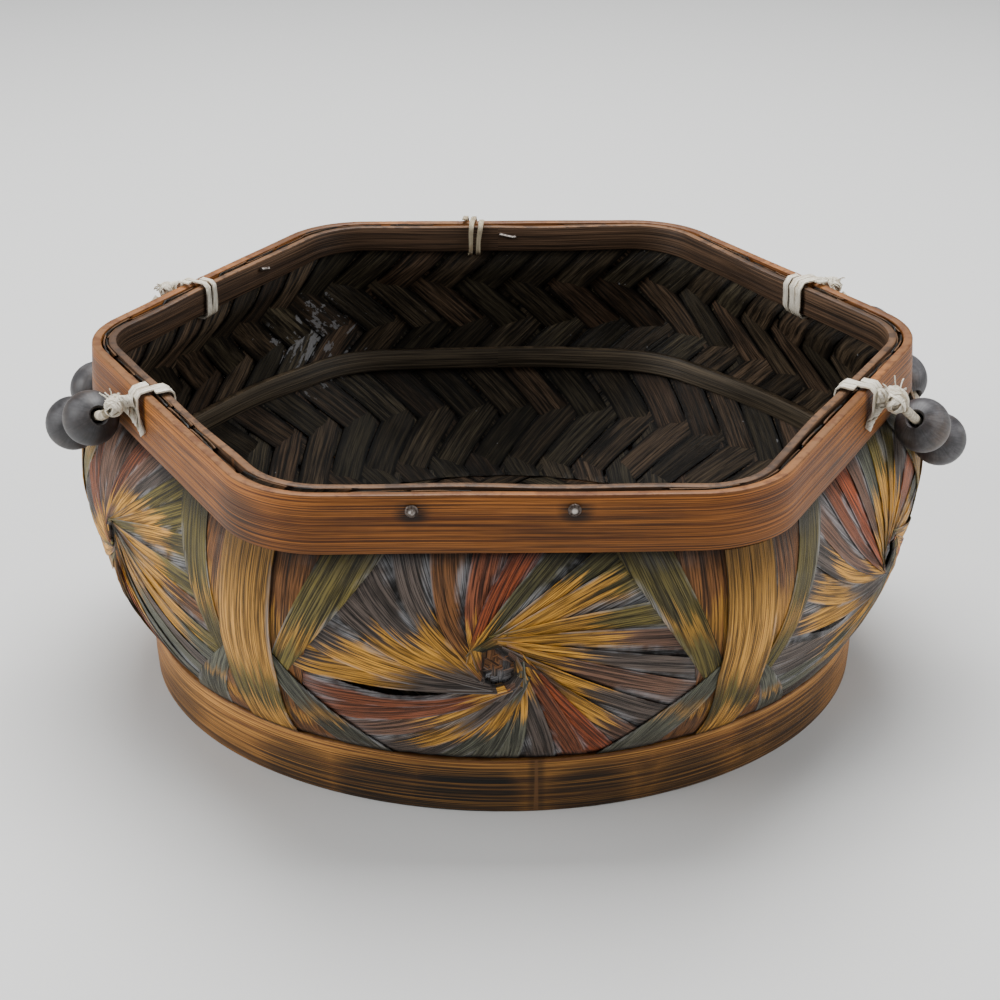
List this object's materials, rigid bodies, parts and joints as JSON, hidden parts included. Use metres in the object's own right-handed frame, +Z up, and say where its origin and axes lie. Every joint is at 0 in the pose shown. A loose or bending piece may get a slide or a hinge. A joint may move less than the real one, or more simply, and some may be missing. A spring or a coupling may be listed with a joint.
{
  "type": "beaded decorative basket",
  "caption": "Low six-sided basket of plaited bamboo with a pleated leaf skin, bent bamboo rim bands, an oval foot ring and a beaded cord handle at each end.",
  "frame": {"origin": "on the table under the middle of the basket, in the plane of the foot ring's underside", "axes": "+Z up, +X along the basket's length from one beaded end to the other, -Y towards the front side"},
  "size_m": [0.3016, 0.257, 0.1172],
  "materials": {
    "band_bamboo": "orange-brown stained bamboo, satin varnish, fine long fibres",
    "inner_bamboo": "dark brown stained bamboo with a paler top edge",
    "woven_bamboo": "very dark brown plaited bamboo strips, worn varnish",
    "hoop_bamboo": "dark grey-brown split bamboo",
    "foot_bamboo": "ochre bamboo with dark scorch marks, satin varnish",
    "leaf_pleats": "dry pleated leaf dyed ochre, rust, olive and slate, dusty creases",
    "leaf_strips": "dry leaf strips in rust brown and olive",
    "leaf_corner": "straight-grained ochre leaf strip",
    "raffia": "off-white raffia, matt with a faint sheen",
    "raffia_cord": "twisted raffia cord, matt",
    "bead_wood": "dark grey-purple stained wood, satin with a pale bloom",
    "nail_iron": "rusted iron nail with a worn bright head"
  },
  "bodies": {
    "basket": {"outer_rim_band": "band_bamboo", "inner_rim_band": "inner_bamboo", "woven_wall": "woven_bamboo", "woven_floor": "woven_bamboo", "mid_hoop": "hoop_bamboo", "foot_ring": "foot_bamboo", "front_rosette": "leaf_pleats", "front_side_strips_a": "leaf_strips", "front_side_strips_b": "leaf_strips", "right_front_rosette": "leaf_pleats", "right_front_side_strips_a": "leaf_strips", "right_front_side_strips_b": "leaf_strips", "right_back_rosette": "leaf_pleats", "right_back_side_strips_a": "leaf_strips", "right_back_side_strips_b": "leaf_strips", "back_rosette": "leaf_pleats", "back_side_strips_a": "leaf_strips", "back_side_strips_b": "leaf_strips", "left_back_rosette": "leaf_pleats", "left_back_side_strips_a": "leaf_strips", "left_back_side_strips_b": "leaf_strips", "left_front_rosette": "leaf_pleats", "left_front_side_strips_a": "leaf_strips", "left_front_side_strips_b": "leaf_strips", "right_end_corner_strip": "leaf_corner", "right_back_corner_strip": "leaf_corner", "left_back_corner_strip": "leaf_corner", "left_end_corner_strip": "leaf_corner", "left_front_corner_strip": "leaf_corner", "right_front_corner_strip": "leaf_corner", "right_front_tie": "raffia", "right_back_tie": "raffia", "left_back_tie": "raffia", "left_front_tie": "raffia", "back_tie": "raffia", "nail_front_left": "nail_iron", "nail_front_right": "nail_iron", "nail_back": "nail_iron", "nail_left_back": "nail_iron"},
    "left_handle": {"left_bead_cord": "raffia_cord"},
    "left_bead_1_body": {"left_bead_1": "bead_wood"},
    "left_bead_2_body": {"left_bead_2": "bead_wood"},
    "left_bead_3_body": {"left_bead_3": "bead_wood"},
    "left_bead_4_body": {"left_bead_4": "bead_wood"},
    "right_handle": {"right_bead_cord": "raffia_cord"},
    "right_bead_1_body": {"right_bead_1": "bead_wood"},
    "right_bead_2_body": {"right_bead_2": "bead_wood"},
    "right_bead_3_body": {"right_bead_3": "bead_wood"},
    "right_bead_4_body": {"right_bead_4": "bead_wood"}
  },
  "joints": [
    {"name": "left_handle_swing", "type": "hinge", "parent": "basket", "child": "left_handle", "pos_m": [-0.11919, 0, 0.1115], "axis": [0, 1, 0], "range_deg": [0, 130]},
    {"name": "left_bead_1_spin", "type": "hinge", "parent": "left_handle", "child": "left_bead_1_body", "pos_m": [-0.12959, -0.04, 0.1021], "axis": [-0.4734, 0.768, -0.4313], "continuous": true},
    {"name": "left_bead_2_spin", "type": "hinge", "parent": "left_handle", "child": "left_bead_2_body", "pos_m": [-0.13919, -0.024, 0.0933], "axis": [-0.3492, 0.8464, -0.4021], "continuous": true},
    {"name": "left_bead_3_spin", "type": "hinge", "parent": "left_handle", "child": "left_bead_3_body", "pos_m": [-0.14149, 0.0238, 0.0857], "axis": [0.3744, 0.8528, 0.364], "continuous": true},
    {"name": "left_bead_4_spin", "type": "hinge", "parent": "left_handle", "child": "left_bead_4_body", "pos_m": [-0.13209, 0.0403, 0.0966], "axis": [0.454, 0.6757, 0.5807], "continuous": true},
    {"name": "right_handle_swing", "type": "hinge", "parent": "basket", "child": "right_handle", "pos_m": [0.11919, 0, 0.1115], "axis": [0, -1, 0], "range_deg": [0, 130]},
    {"name": "right_bead_1_spin", "type": "hinge", "parent": "right_handle", "child": "right_bead_1_body", "pos_m": [0.13249, -0.0368, 0.0962], "axis": [0.4809, 0.6795, -0.5541], "continuous": true},
    {"name": "right_bead_2_spin", "type": "hinge", "parent": "right_handle", "child": "right_bead_2_body", "pos_m": [0.14279, -0.0214, 0.0843], "axis": [0.3952, 0.7904, -0.468], "continuous": true},
    {"name": "right_bead_3_spin", "type": "hinge", "parent": "right_handle", "child": "right_bead_3_body", "pos_m": [0.14039, 0.025, 0.0867], "axis": [-0.3476, 0.8322, 0.4319], "continuous": true},
    {"name": "right_bead_4_spin", "type": "hinge", "parent": "right_handle", "child": "right_bead_4_body", "pos_m": [0.13119, 0.0404, 0.0983], "axis": [-0.4646, 0.6863, 0.5596], "continuous": true}
  ]
}
